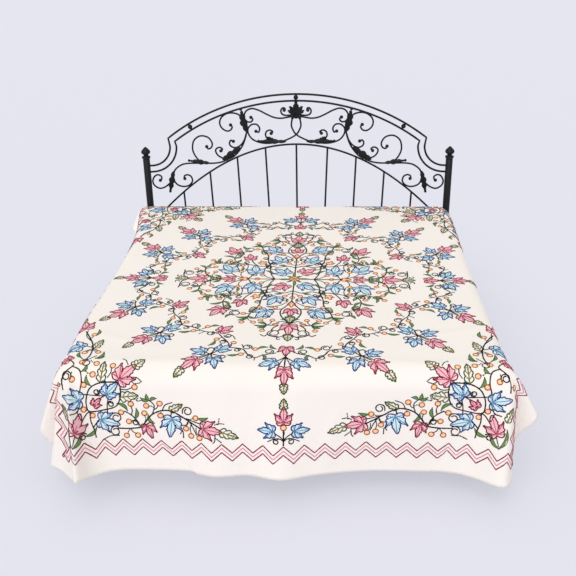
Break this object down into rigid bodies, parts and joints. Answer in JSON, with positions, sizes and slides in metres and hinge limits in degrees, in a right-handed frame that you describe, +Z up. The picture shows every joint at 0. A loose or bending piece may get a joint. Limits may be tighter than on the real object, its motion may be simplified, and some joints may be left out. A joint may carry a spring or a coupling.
{
  "type": "embroidered bedspread on an iron bed",
  "caption": "Cream cotton bedspread with a crewel-embroidered flower garland, draped over the mattress of a double bed with a black wrought-iron headboard.",
  "frame": {"origin": "on the floor, at the middle of the centre leg's foot", "axes": "+X across the bed to the right seen from its foot, +Y along the bed towards the headboard, +Z up"},
  "size_m": [2.1265, 2.3242, 1.2945],
  "materials": {
    "bedspread": "cream cotton, plain weave, embroidered in crewel wool",
    "mattress": "off-white quilted ticking",
    "box_base": "plain off-white ticking",
    "iron": "black satin paint on wrought iron"
  },
  "bodies": {
    "root": {"bedspread": "bedspread", "mattress": "mattress", "box_base": "box_base", "side_rail_left": "iron", "side_rail_right": "iron", "foot_rail": "iron", "centre_beam": "iron", "foot_leg_left": "iron", "foot_leg_right": "iron", "centre_leg": "iron", "post_left": "iron", "post_right": "iron", "finial_left": "iron", "finial_right": "iron", "head_rail": "iron", "outer_rail": "iron", "inner_rail": "iron", "lower_arch": "iron", "rail_ball_left": "iron", "rail_ball_middle": "iron", "rail_ball_right": "iron", "bar_1": "iron", "bar_2": "iron", "bar_3": "iron", "bar_4": "iron", "bar_5": "iron", "bar_6": "iron", "bar_7": "iron", "bar_8": "iron", "bar_9": "iron", "scrollwork": "iron"}
  },
  "joints": []
}
